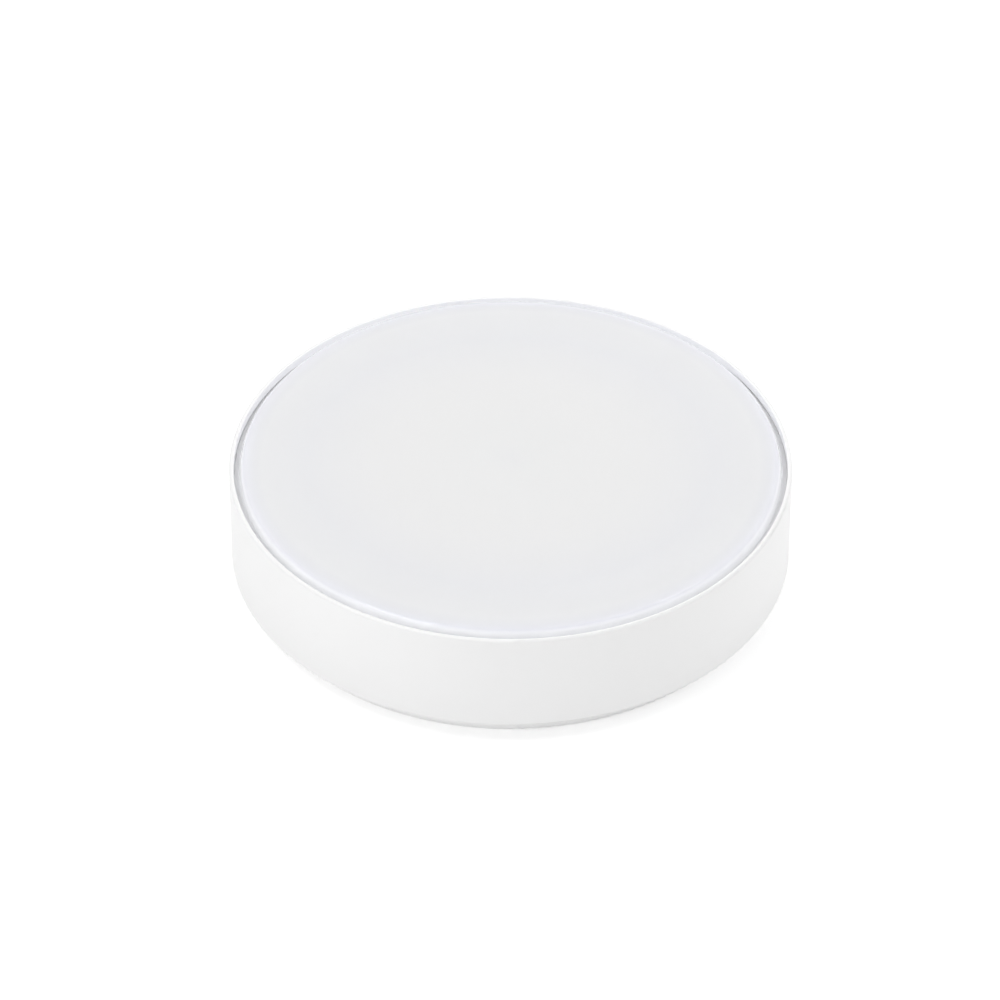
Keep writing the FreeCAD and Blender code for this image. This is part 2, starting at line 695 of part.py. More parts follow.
def make_gear_tray():
    """Pressed top hat over the driver. The lamp board lies on its crown."""
    body = new_body("gear_tray")
    top, foot = TRAY_TOP_RADIUS, TRAY_FOOT_RADIUS
    under, flange_top = f"({TRAY_TOP} - tray_sheet)", f"({DRUM_FLOOR} + tray_sheet)"
    revolve(body, "gear_tray", [
        ("0", TRAY_TOP), (top, TRAY_TOP), (foot, flange_top), (TRAY_EDGE, flange_top),
        (TRAY_EDGE, DRUM_FLOOR), (f"{foot} - tray_sheet", DRUM_FLOOR), (f"{top} - tray_sheet", under),
        ("0", under),
    ])
    soften(body, "tray_shoulder", "tray_bend", ring_at(top, TRAY_TOP))
    soften(body, "tray_foot_bend", "tray_bend", ring_at(foot, flange_top))
    tray_x, tray_y, _, _ = on_circle(TRAY_SCREW_CIRCLE, CLIP_TURN, 1, "0")[0]
    around(body, drill(body, "tray_flange_holes", [(tray_x, tray_y, "sheet_thread + hole_clearance")]))
    board_x, board_y, _, _ = on_circle(BOARD_SCREW_CIRCLE, SCREW_TURN, 1, "0")[0]
    around(body, drill(body, "tray_crown_holes", [(board_x, board_y, "small_thread")]))
    drill(body, "tray_gate", [("0", "-lead_gate", "gate_diameter")])
    return piece(body, "gear_tray")


def make_tray_screws():
    screw = pan_screw("tray_screw", "sheet_thread", "sheet_head", "sheet_head_height", "tray_screw_length")
    seat = f"{DRUM_FLOOR} + tray_sheet"
    return copies("tray_screws", screw, on_circle(TRAY_SCREW_CIRCLE, CLIP_TURN, 3, seat))


def make_tray_bush():
    """Soft bush through tray, pad and board, where the lamp leads come up."""
    body = new_body("tray_bush", y="-lead_gate")
    low, seat, high = f"({TRAY_TOP} - tray_sheet - bush_flange)", BOARD_TOP, f"({BOARD_TOP} + bush_flange)"
    under = f"({TRAY_TOP} - tray_sheet)"
    flange, groove, bore = "(gate_diameter / 2 + bush_flange)", "gate_diameter / 2", "bush_bore / 2"
    revolve(body, "tray_bush", [
        (bore, low), (flange, low), (flange, under), (groove, under), (groove, seat), (flange, seat),
        (flange, high), (bore, high),
    ])
    soften(body, "bush_low_round", "bush_flange * 0.5", ring_at(flange, low))
    soften(body, "bush_high_round", "bush_flange * 0.5", ring_at(flange, high))
    return piece(body, "tray_bush")


# Lamp board


def board_disc(name, radius, thickness, level):
    """A disc on the tray's crown with the board's screw holes and lead gate."""
    disc = rod(name + "_disc", f"2 * ({radius})", thickness, "0", "0", level)
    gate = rod(name + "_gate", "gate_diameter", thickness, "0", "-lead_gate", level)
    holes = [gate]
    for number, (x, y, z, _) in enumerate(on_circle(BOARD_SCREW_CIRCLE, SCREW_TURN, 3, level), start=1):
        holes.append(rod(f"{name}_hole_{number}", "small_thread + hole_clearance", thickness, x, y, z))
    return piece(cut_out(name, disc, holes), name)


def make_lamp_chips():
    """Surface-mount lamps in one ring."""
    chips = []
    count = int(value("chip_count"))
    for number in range(count):
        turn = 360 / count * (number + 0.5)
        chip = doc.addObject("Part::Box", f"lamp_chip_{number + 1}")
        chip.Placement = Placement(Vector(0, 0, 0), Rotation(Vector(0, 0, 1), turn))
        for prop, text in (("Length", "chip_length"), ("Width", "chip_width"), ("Height", "chip_height")):
            bind(chip, prop, text)
        inner = "(chip_circle / 2 - chip_length / 2)"
        bind(chip, "Placement.Base.x", f"{inner} * cos({turn}) + chip_width / 2 * sin({turn})")
        bind(chip, "Placement.Base.y", f"{inner} * sin({turn}) - chip_width / 2 * cos({turn})")
        bind(chip, "Placement.Base.z", BOARD_TOP)
        chips.append(chip)
    return group("lamp_chips", chips)


def make_board_screws():
    screw = pan_screw("board_screw", "small_thread", "small_head", "small_head_height", "board_screw_length")
    return copies("board_screws", screw, on_circle(BOARD_SCREW_CIRCLE, SCREW_TURN, 3, BOARD_TOP))


def make_board_connector():
    """Push-in connector on the board, its two entries facing the lead gate."""
    y = f"-({CONNECTOR_FACE} + connector_width / 2)"
    housing = block(
        "connector_block", "connector_length", "connector_width", "connector_height", "0", y, BOARD_TOP)
    entries = [
        rod(f"connector_entry_{number}", "lamp_lead + lead_play", "connector_width * 0.6", x,
            f"-{CONNECTOR_FACE} - connector_width * 0.6", CONNECTOR_LINE, along="y")
        for number, x in enumerate(("-connector_length / 4", "connector_length / 4"), start=1)
    ]
    slots = [
        block(f"connector_slot_{number}", "connector_length / 6", "connector_width / 4",
              "connector_height * 0.2", x, f"-({CONNECTOR_FACE} + connector_width * 0.75)",
              f"{BOARD_TOP} + connector_height * 0.8")
        for number, x in enumerate(("-connector_length / 4", "connector_length / 4"), start=1)
    ]
    return piece(cut_out("board_connector", housing, entries + slots), "board_connector")


# Driver


def rectangle(length, width):
    half_length, half_width = f"(({length}) / 2)", f"(({width}) / 2)"
    return [
        ("-" + half_length, "-" + half_width), (half_length, "-" + half_width), (half_length, half_width),
        ("-" + half_length, half_width),
    ]


def make_driver_case():
    """Open tub with two screw ears, ribs that carry the board, and four lead entries in one side."""
    body = new_body("driver_case", y=DRIVER_PLACE, z=DRIVER_FOOT)
    plan = outline(body, "case_plan", "XY_Plane", rectangle("driver_length", "driver_width"))
    pad(body, plan, "driver_height")
    soften(body, "case_corners", "driver_corner", upright)
    ears = rectangle("driver_length + 2 * ear_length", "ear_width")
    pad(body, outline(body, "case_ears", "XY_Plane", ears), "ear_thickness")
    inside = outline(body, "case_inside", "XY_Plane", rectangle(CASE_LENGTH_INSIDE, CASE_WIDTH_INSIDE),
                     level="driver_wall")
    pocket(body, inside, reverse=True)
    for number, side in enumerate(("-", ""), start=1):
        middle = f"({side}({CASE_LENGTH_INSIDE} - rib_width) / 2)"
        half = f"({CASE_WIDTH_INSIDE} / 2)"
        rib = [
            (f"{middle} - rib_width / 2", "-" + half), (f"{middle} + rib_width / 2", "-" + half),
            (f"{middle} + rib_width / 2", half), (f"{middle} - rib_width / 2", half),
        ]
        pad(body, outline(body, f"case_rib_{number}", "XY_Plane", rib, level="driver_wall"), "rib_height")
    drill(body, "ear_holes", [
        ("-" + EAR_REACH, "0", "small_thread + hole_clearance"),
        (EAR_REACH, "0", "small_thread + hole_clearance"),
    ])
    entries = [(x, f"{BOARD_LEVEL} + supply_lead / 2", "supply_lead + lead_play") for x in INPUTS]
    entries += [(x, f"{BOARD_LEVEL} + lamp_lead / 2", "lamp_lead + lead_play") for x in OUTPUTS]
    pocket(body, circles(body, "case_entries", "XZ_Plane", entries), reverse=True)
    return piece(body, "driver_case")


def make_driver_cover():
    """Snap cover whose lip drops inside the case."""
    body = new_body("driver_cover", y=DRIVER_PLACE, z=DRIVER_TOP)
    plate = outline(body, "cover_plan", "XY_Plane", rectangle("driver_length", "driver_width"))
    pad(body, plate, "driver_cover_thickness")
    soften(body, "cover_corners", "driver_corner", upright)
    length, width = f"{CASE_LENGTH_INSIDE} - 2 * fit_gap", f"{CASE_WIDTH_INSIDE} - 2 * fit_gap"
    lip = outline(body, "cover_lip_plan", "XY_Plane", rectangle(length, width))
    pad(body, lip, "cover_lip", reverse=True)
    inner = rectangle(f"{length} - 2 * driver_wall", f"{width} - 2 * driver_wall")
    pocket(body, outline(body, "cover_lip_inside", "XY_Plane", inner), "cover_lip")
    return piece(body, "driver_cover")


def make_driver_board():
    board = block("driver_board", f"{CASE_LENGTH_INSIDE} - 2 * fit_gap", f"{CASE_WIDTH_INSIDE} - 2 * fit_gap",
                  "driver_board_thickness", "0", DRIVER_PLACE, f"{DRIVER_FOOT} + driver_wall + rib_height")
    return piece(board, "driver_board")


def make_transformer():
    """Flat core with a centre leg, and the winding that fills its window."""
    x, y, z = TRANSFORMER_PLACE, DRIVER_PLACE, DRIVER_BOARD_TOP
    core = block("core_block", "transformer_length", "transformer_width", "transformer_height", x, y, z)
    window = block("core_window", WINDOW_LENGTH, WINDOW_WIDTH, "transformer_height", x, y, z)
    leg = block("core_centre_leg", "core_leg", WINDOW_WIDTH, "transformer_height", x, y, z)
    piece(join("transformer_core", [cut_out("core_frame", core, [window]), leg]), "transformer_core")
    sides = []
    winding = f"(({WINDOW_LENGTH} - core_leg) / 2 - 2 * fit_gap)"
    reach = f"((core_leg + {winding}) / 2 + fit_gap)"
    for number, sign in enumerate(("-", "+"), start=1):
        sides.append(block(f"winding_{number}", winding, f"{WINDOW_WIDTH} - 2 * fit_gap",
                           "transformer_height", f"{x} {sign} {reach}", y, z))
    return group("transformer_winding", sides)


def make_driver_parts():
    """The other parts on the driver's board: capacitors, choke, chips and fuse."""
    level = DRIVER_BOARD_TOP
    far, near = f"{DRIVER_PLACE} + driver_width * 0.2", f"{DRIVER_PLACE} - driver_width * 0.02"
    after = f"{TRANSFORMER_START} + transformer_length + part_gap"
    lying = f"{level} + capacitor_diameter / 2"
    group("driver_capacitors", [
        rod(name, "capacitor_diameter", CAPACITOR_LENGTH, start, far, lying, along="x")
        for name, start in (
            ("input_capacitor", PARTS_START),
            ("bulk_capacitor", f"{PARTS_START} + {CAPACITOR_LENGTH} + part_gap"),
            ("output_capacitor", after),
        )
    ])
    choke = new_body("driver_choke", x=f"{TRANSFORMER_START} - part_gap - choke_diameter / 2",
                     y=near + " - choke_diameter / 2", z=level)
    full, waist = "choke_diameter / 2", "choke_diameter / 2 - choke_waist"
    revolve(choke, "driver_choke", [
        ("0", "0"), (full, "0"), (full, "choke_waist"), (waist, "choke_waist"),
        (waist, "choke_height - choke_waist"), (full, "choke_height - choke_waist"),
        (full, "choke_height"), ("0", "choke_height"),
    ])
    piece(choke, "driver_choke")
    group("driver_chips", [
        block("rectifier_package", "package_length", "package_width", "package_height",
              f"{PARTS_START} + fuse_length / 2", f"{DRIVER_PLACE} - driver_width * 0.2", level),
        block("controller_package", "package_length", "package_width", "package_height",
              f"{after} + package_length / 2", f"{DRIVER_PLACE} - driver_width * 0.05", level),
    ])
    fuse = rod("driver_fuse", "fuse_diameter", "fuse_length", PARTS_START, near,
               f"{level} + fuse_diameter / 2", along="x")
    return piece(fuse, "driver_fuse")


def make_driver_mounting():
    """The sheet under the driver and the two screws in its ears."""
    under_case = block("sheet_under_case", "driver_length + 2 * insulation_margin",
                       "driver_width + 2 * insulation_margin", "insulation", "0", DRIVER_PLACE, DRUM_FLOOR)
    under_ears = block("sheet_under_ears", "driver_length + 2 * ear_length + 2 * insulation_margin",
                       "ear_width + 2 * insulation_margin", "insulation", "0", DRIVER_PLACE, DRUM_FLOOR)
    blank = join("insulating_blank", [under_case, under_ears])
    holes = [
        rod(f"insulating_hole_{number}", "small_thread + hole_clearance", "insulation",
            x, DRIVER_PLACE, DRUM_FLOOR)
        for number, x in enumerate(("-" + EAR_REACH, EAR_REACH), start=1)
    ]
    piece(cut_out("insulating_sheet", blank, holes), "insulating_sheet")
    screw = pan_screw("driver_screw", "small_thread", "small_head", "small_head_height", "board_screw_length")
    seat = f"{DRIVER_FOOT} + ear_thickness"
    return copies("driver_screws", screw, [
        ("-" + EAR_REACH, DRIVER_PLACE, seat, 20), (EAR_REACH, DRIVER_PLACE, seat, 65),
    ])


# Terminal block

def make_terminal_block():
    """Three-pole strip: a moulded body, brass clamps in its bores and two screws in each clamp."""
    length = "(2 * pole_pitch + 2 * block_margin)"
    body = block("terminal_body", length, "block_depth", "block_height", "0", "-" + BLOCK_PLACE, DRUM_FLOOR)
    tools, clamps, screws = [], [], []
    start = f"-{BLOCK_PLACE} - block_depth / 2"
    clamp_length = "(clamp_screw_pitch + clamp_diameter)"
    well_top = f"({DRUM_FLOOR} + block_height)"
    clamp_start = f"-{BLOCK_PLACE} - {clamp_length} / 2"
    head_well, head_room = "clamp_screw_head + 2 * fit_gap", "block_height - clamp_level"
    for pole, x in enumerate(POLES, start=1):
        bore = rod(f"pole_bore_{pole}", "clamp_diameter", "block_depth", x, start, CLAMP_LINE, along="y")
        tools.append(bore)
        tube = rod(f"clamp_tube_{pole}", "clamp_diameter", clamp_length, x, clamp_start, CLAMP_LINE, along="y")
        cuts = [rod(f"clamp_bore_{pole}", "clamp_bore", clamp_length, x, clamp_start, CLAMP_LINE, along="y")]
        for end, sign in enumerate(("-", "+"), start=1):
            y, name = f"-{BLOCK_PLACE} {sign} clamp_screw_pitch / 2", f"{pole}_{end}"
            tools.append(rod("screw_well_" + name, head_well, head_room, x, y, CLAMP_LINE))
            cuts.append(rod("clamp_thread_" + name, "clamp_screw", "clamp_diameter / 2", x, y, CLAMP_LINE))
            screws.append((x, y, f"{CLAMP_LINE} + clamp_diameter / 2", 30 * pole + 50 * end))
        clamps.append(cut_out(f"terminal_clamp_{pole}", tube, cuts))
    fixing_place = ("-pole_pitch / 2", "-" + BLOCK_PLACE)
    fixing_seat = f"{well_top} - small_head_height"
    hole, well = "small_thread + hole_clearance", "small_head + 2 * fit_gap"
    tools.append(rod("block_screw_hole", hole, "block_height", *fixing_place, DRUM_FLOOR))
    tools.append(rod("block_screw_well", well, head_room, *fixing_place, fixing_seat))
    piece(cut_out("terminal_block", body, tools), "terminal_block")
    group("terminal_clamps", clamps)
    copies("terminal_screws", slotted_screw(well_top), screws)
    fixing = pan_screw("block_screw", "small_thread", "small_head", "small_head_height",
                       "block_height - small_head_height + board_screw_length")
    return copies("terminal_block_screw", fixing, [(*fixing_place, fixing_seat, 15)])


def slotted_screw(well_top):
    """Small cheese head with a slot. Its shank is in the clamp's thread."""
    body = new_body("terminal_screw")
    head, shank = "clamp_screw_head / 2", "(clamp_screw / 2 - thread_clearance)"
    head_height = f"({well_top} - {CLAMP_LINE} - clamp_diameter / 2 - clamp_screw * 0.5)"
    revolve(body, "terminal_screw", [
        ("0", head_height), (head, head_height), (head, "0"), (shank, "0"), (shank, "-clamp_screw * 0.5"),
        ("0", "-clamp_screw * 0.5"),
    ])
    slot = rectangle("clamp_screw_head * 1.2", "clamp_screw_head * 0.2")
    groove = outline(body, "terminal_screw_slot", "XY_Plane", slot, level=head_height)
    pocket(body, groove, f"{head_height} * 0.3")
    return body


# Leads and earth


def lead(name, diameter, route):
    """A lead along straight runs joined by tangent arcs, each arc as large as its two runs allow."""
    points = [Vector(*(value(text) for text in point)) for point in route]
    edges, start = [], points[0]
    for before, corner, after in zip(points, points[1:], points[2:]):
        into, out = (corner - before), (after - corner)
        turn = into.getAngle(out)
        set_back = 0.45 * min(into.Length, out.Length)
        begin = corner - into.normalize() * set_back
        end = corner + out.normalize() * set_back
        radius = set_back / math.tan(turn / 2)
        inward = (out - into).normalize()
        middle = corner + inward * (radius / math.cos(turn / 2) - radius)
        edges.append(Part.LineSegment(start, begin).toShape())
        edges.append(Part.Arc(begin, middle, end).toShape())
        start = end
    edges.append(Part.LineSegment(start, points[-1]).toShape())
    path = Part.Wire(edges)
    ring = Part.Wire([Part.makeCircle(value(diameter) / 2, points[0], points[1] - points[0])])
    item = doc.addObject("Part::Feature", name)
    item.Shape = path.makePipeShell([ring], True, False)
    expected = math.pi * (value(diameter) / 2) ** 2 * path.Length
    if abs(item.Shape.Volume / expected - 1) > 0.02:
        raise ValueError(name + " has the wrong volume")
    return piece(item, name)


def make_leads():
    """Two supply leads, an earth lead and two lamp leads, inside the drum from end to end."""
    case_side = f"({DRIVER_PLACE} - driver_width / 2)"
    inside = f"({case_side} + driver_wall + supply_lead)"
    block_side = f"(-{BLOCK_PLACE} + block_depth / 2)"
    clamp_end = f"(-{BLOCK_PLACE} + clamp_screw_pitch / 2)"
    over = f"({DRUM_FLOOR} + grommet_flange_height + supply_lead * 1.6)"
    supply_line = f"({DRIVER_BOARD_TOP} + supply_lead / 2)"
    for name, x_block, x_driver in (
        ("live_lead", "-pole_pitch", INPUTS[0]), ("neutral_lead", "0", INPUTS[1]),
    ):
        lead(name, "supply_lead", [
            (x_block, clamp_end, CLAMP_LINE), (x_block, f"{block_side} + lead_exit", CLAMP_LINE),
            (f"({x_block} + {x_driver}) / 2 - lead_bow", f"({block_side} + {case_side}) / 2", over),
            (x_driver, f"{case_side} - lead_exit", supply_line), (x_driver, inside, supply_line),
        ])
    tag_line = f"({DRUM_FLOOR} + tag_barrel / 2)"
    barrel_start = "(earth_across - tag_ring / 2 - tag_barrel_length)"
    lead("earth_lead", "supply_lead", [
        ("pole_pitch", clamp_end, CLAMP_LINE), ("pole_pitch", f"{block_side} + lead_exit", CLAMP_LINE),
        ("pole_pitch + earth_bow", f"{block_side} + lead_exit + lead_bow", f"{CLAMP_LINE} + lead_play"),
        (f"{barrel_start} - lead_exit", "-earth_along", tag_line),
        (f"{barrel_start} + tag_barrel_length / 5", "-earth_along", tag_line),
    ])
    gate = "-lead_gate"
    lamp_line = f"({DRIVER_BOARD_TOP} + lamp_lead / 2)"
    for name, x_driver, side, dip in (
        ("positive_lead", OUTPUTS[1], "+", "0"), ("negative_lead", OUTPUTS[0], "-", "lead_spacing"),
    ):
        x_gate, x_board = f"(0 {side} bush_bore / 5)", f"(0 {side} connector_length / 4)"
        lead(name, "lamp_lead", [
            (x_driver, inside, lamp_line), (x_driver, f"{case_side} - lead_exit", lamp_line),
            (f"{x_gate} + lamp_bow", f"{gate} + lamp_bow / 2 + {side}1", f"{lamp_line} - {dip}"),
            (x_gate, gate, f"{lamp_line} + lead_spacing - {dip}"),
            (x_gate, gate, f"{BOARD_TOP} + bush_flange + 2 * lamp_lead"),
            (f"({x_gate} + {x_board}) / 2", f"{gate} - lead_spacing", f"{CONNECTOR_LINE} + connector_height"),
            (x_board, f"-{CONNECTOR_FACE} + 2 * lamp_lead", CONNECTOR_LINE),
            (x_board, f"-{CONNECTOR_FACE} - connector_width / 2", CONNECTOR_LINE),
        ])


def make_earth():
    """Ring tag with a crimped barrel, under a screw in the drum's base."""
    x, y = "earth_across", "-earth_along"
    ring = rod("tag_disc", "tag_ring", "tag_sheet", x, y, DRUM_FLOOR)
    neck = block("tag_neck", "tag_ring / 2 + 1", "tag_barrel * 0.8", "tag_sheet",
                 f"{x} - tag_ring / 4 - 0.5", y, DRUM_FLOOR)
    barrel_start = f"{x} - tag_ring / 2 - tag_barrel_length"
    barrel = rod("tag_tube", "tag_barrel", "tag_barrel_length", barrel_start, y,
                 f"{DRUM_FLOOR} + tag_barrel / 2", along="x")
    bore = rod("tag_bore", "supply_lead + lead_play", "tag_barrel_length", barrel_start, y,
               f"{DRUM_FLOOR} + tag_barrel / 2", along="x")
    eye = rod("tag_eye", "machine_thread + hole_clearance", "tag_sheet", x, y, DRUM_FLOOR)
    piece(cut_out("earth_tag", join("tag_blank", [ring, neck, barrel]), [bore, eye]), "earth_tag")
    screw = pan_screw(
        "earth_fixing", "machine_thread", "machine_head", "machine_head_height", "earth_screw_length")
    return copies("earth_screw", screw, [(x, y, f"{DRUM_FLOOR} + tag_sheet", 40)])


make_drum()
make_fitter_plate()
make_standoffs()
make_drum_screws()
make_lead_grommet()
make_diffuser()
make_dust_seal()
make_diffuser_clips()
make_clip_rivets()
make_gear_tray()
make_tray_screws()
make_tray_bush()
board_disc("thermal_pad", f"{BOARD_RADIUS} - pad_margin", "pad_thickness", TRAY_TOP)
board_disc("lamp_board", BOARD_RADIUS, "board_thickness", BOARD_LOW)
make_lamp_chips()
make_board_screws()
make_board_connector()
make_driver_case()
make_driver_cover()
make_driver_board()
make_transformer()
make_driver_parts()
make_driver_mounting()
make_terminal_block()
make_leads()
make_earth()
doc.recompute()

# Nothing is written until every object is sound

for item in doc.Objects:
    if "Invalid" in item.State or "Error" in item.State:
        raise ValueError(f"{item.Name} is {item.State}")
for item in pieces:
    if item.Shape.isNull() or not item.Shape.isValid():
        raise ValueError(f"{item.Label} has no sound shape")

os.makedirs("parts", exist_ok=True)
for item in pieces:
    item.Shape.exportStep(f"parts/{item.Label}.step")
    print(item.Label, len(item.Shape.Solids), round(item.Shape.Volume, 1))
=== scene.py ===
import json
import math

import bmesh
import bpy
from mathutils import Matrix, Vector


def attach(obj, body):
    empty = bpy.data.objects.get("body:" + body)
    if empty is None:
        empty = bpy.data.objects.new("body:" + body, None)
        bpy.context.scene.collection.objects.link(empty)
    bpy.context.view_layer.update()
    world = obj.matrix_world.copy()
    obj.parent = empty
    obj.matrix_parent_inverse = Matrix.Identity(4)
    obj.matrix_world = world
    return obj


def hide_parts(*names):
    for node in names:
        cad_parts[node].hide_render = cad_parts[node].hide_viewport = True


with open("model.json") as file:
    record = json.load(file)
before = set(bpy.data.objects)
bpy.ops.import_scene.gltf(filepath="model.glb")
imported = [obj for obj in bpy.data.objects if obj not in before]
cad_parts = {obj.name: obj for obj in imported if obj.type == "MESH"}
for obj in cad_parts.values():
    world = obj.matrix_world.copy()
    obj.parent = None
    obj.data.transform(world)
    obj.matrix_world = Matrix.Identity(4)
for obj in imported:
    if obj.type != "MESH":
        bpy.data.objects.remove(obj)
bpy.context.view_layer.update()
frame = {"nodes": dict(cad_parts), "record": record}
nodes = frame["nodes"]
millimetre = 0.001
print("frame loaded,", len(nodes), "nodes")


# Helpers for colours and materials

def linear(hexText, alpha=1.0):
    parts = [int(hexText[i:i + 2], 16) / 255 for i in (0, 2, 4)]
    return (*[c / 12.92 if c <= 0.04045 else ((c + 0.055) / 1.055) ** 2.4 for c in parts], alpha)


def shaded(hexText, share):
    colour = linear(hexText)
    return (*[c * share for c in colour[:3]], 1.0)


def newMaterial(name):
    material = bpy.data.materials.new(name)
    material.use_nodes = True
    tree = material.node_tree
    tree.nodes.clear()
    return material, tree


# Adds one node with its settings, values, links and, for a colour ramp, its stops.
def addNode(tree, kind, values=None, links=None, stops=(), **settings):
    node = tree.nodes.new("ShaderNode" + kind)
    for name, setting in settings.items():
        setattr(node, name, setting)
    for name, number in (values or {}).items():
        node.inputs[name].default_value = number
    for name, socket in (links or {}).items():
        tree.links.new(socket, node.inputs[name])
    if stops:
        marks = node.color_ramp.elements
        while len(marks) < len(stops):
            marks.new(0.5)
        for mark, (place, colour) in zip(marks, stops):
            mark.position = place
            mark.color = colour
    return node


def finish(material, tree, shader, bump):
    tree.links.new(bump.outputs["Normal"], shader.inputs["Normal"])
    addNode(tree, "OutputMaterial", links={"Surface": shader.outputs["BSDF"]})
    return material


def fromAxis(tree, where):
    flat = addNode(tree, "VectorMath", {1: (1, 1, 0)}, {0: where}, operation="MULTIPLY")
    return addNode(tree, "VectorMath", links={0: flat.outputs["Vector"]}, operation="LENGTH").outputs["Value"]


# Powder coat: polyester powder, sprayed and baked. The eye sees a satin white that clouds very slightly,
# over a very fine orange peel.
coat = {
    "cloudMm": 60, "cloudShade": 0.985, "peelDepthMm": 0.06, "blendMm": 0.2,
    "smoother": 0.04, "rougher": 0.05, "ior": 1.5,
}


def powderCoat(name, hexText, roughness, peelMm=1.6, peel=0.05, inside=None):
    material, tree = newMaterial(name)
    where = addNode(tree, "TexCoord").outputs["Object"]
    cloud = addNode(tree, "TexNoise", {"Scale": 1 / (coat["cloudMm"] * millimetre), "Detail": 2.0},
                    {"Vector": where})
    tone = addNode(tree, "ValToRGB", links={"Fac": cloud.outputs["Fac"]},
                   stops=[(0.3, shaded(hexText, coat["cloudShade"])), (0.7, linear(hexText))]).outputs["Color"]
    # the whiter inside coat is partly painted light that lifts the shade inside the drum
    if inside:  # a whiter coat on the side that faces the axis
        colour, reach = inside
        outer = addNode(tree, "MapRange", {
            "From Min": (reach - coat["blendMm"]) * millimetre, "From Max": reach * millimetre,
        }, {"Value": fromAxis(tree, where)})
        tone = addNode(tree, "MixRGB", {"Color1": linear(colour)},
                       {"Fac": outer.outputs["Result"], "Color2": tone}).outputs["Color"]
    grain = addNode(tree, "TexNoise", {"Scale": 1 / (peelMm * millimetre), "Detail": 3.0, "Roughness": 0.45},
                    {"Vector": where})
    bump = addNode(tree, "Bump", {"Strength": peel, "Distance": coat["peelDepthMm"] * millimetre},
                   {"Height": grain.outputs["Fac"]})
    rough = addNode(tree, "MapRange", {
        "To Min": roughness - coat["smoother"], "To Max": roughness + coat["rougher"],
    }, {"Value": grain.outputs["Fac"]})
    shader = addNode(tree, "BsdfPrincipled", {"IOR": coat["ior"]},
                     {"Base Color": tone, "Roughness": rough.outputs["Result"]})
    return finish(material, tree, shader, bump)


# Opal acrylic, injection moulded and polished. It is milky and glossy. Its colour by radius carries painted
# light:
# a faintly lighter round where the white board behind sends light back, a slightly warmer ring for the lamps,
# painted shade on the top of the shoulder and painted light on its side. Light that falls in through the face
# leaves again at the thin side, which keeps the gap beside it soft: paintedSideGlow is a painted glow, an
# emission that stands in for that light.
opal = {
    "reachMm": 88.5, "flangeTopMm": 38.5, "paintedGlowRiseMm": 0.5, "depthMm": 4.0, "paintedSideGlow": 0.14,
    "paintedGlowColour": "F4F5FA", "ior": 1.49, "roughness": 0.025, "waveMm": 35, "waveDepthMm": 0.3,
    # share of the reach, from the axis out to the flange's edge
    # opal tint with painted light and painted shade by radius: lighter round, warmer ring, shaded shoulder top
    "tintAndPaintedLight": [(0.0, "F2F3FC"), (0.1, "F4F5FD"), (0.35, "F5F5FD"), (0.49, "F4F4FD"), (0.73, "EFF0FB"),
              (0.9, "F1F2FB"), (0.953, "EBECF6"), (0.964, "E4E5EF"), (0.975, "F4F5FB"), (0.984, "F3F4F8")],
    # painted glow: emission strength by share of the reach, on the thin side only
    "glow": [(0.965, "000000"), (0.974, "E6E6E6"), (0.981, "888888"), (0.997, "FFFFFF")],
}


def opalAcrylic(name):
    material, tree = newMaterial(name)
    where = addNode(tree, "TexCoord").outputs["Object"]
    share = addNode(tree, "Math", {1: opal["reachMm"] * millimetre}, {0: fromAxis(tree, where)},
                    operation="DIVIDE")
    # tone: the opal tint with its painted light and shade; side: where the painted glow lies
    tone, side = [
        addNode(tree, "ValToRGB", links={"Fac": share.outputs["Value"]},
                stops=[(place, linear(colour)) for place, colour in opal[key]]).outputs["Color"]
        for key in ("tintAndPaintedLight", "glow")
    ]
    height = addNode(tree, "SeparateXYZ", links={"Vector": where})
    above = addNode(tree, "MapRange", {
        "From Min": opal["flangeTopMm"] * millimetre,
        "From Max": (opal["flangeTopMm"] + opal["paintedGlowRiseMm"]) * millimetre,
        "To Max": opal["paintedSideGlow"],
    }, {"Value": height.outputs["Z"]})
    # painted glow: emission on the side above the flange, standing in for light piped through the moulding
    glow = addNode(tree, "Math", links={0: side, 1: above.outputs["Result"]}, operation="MULTIPLY")
    wave = addNode(tree, "TexNoise", {"Scale": 1 / (opal["waveMm"] * millimetre), "Detail": 1.0},
                   {"Vector": where})
    bump = addNode(tree, "Bump", {"Strength": 0.02, "Distance": opal["waveDepthMm"] * millimetre},
                   {"Height": wave.outputs["Fac"]})
    shader = addNode(tree, "BsdfPrincipled", {
        "IOR": opal["ior"], "Roughness": opal["roughness"],
        "Subsurface Weight": 1.0, "Subsurface Radius": (1, 1, 1),
        "Subsurface Scale": opal["depthMm"] * millimetre, "Emission Color": linear(opal["paintedGlowColour"]),
    }, {"Base Color": tone, "Emission Strength": glow.outputs["Value"]})
    return finish(material, tree, shader, bump)


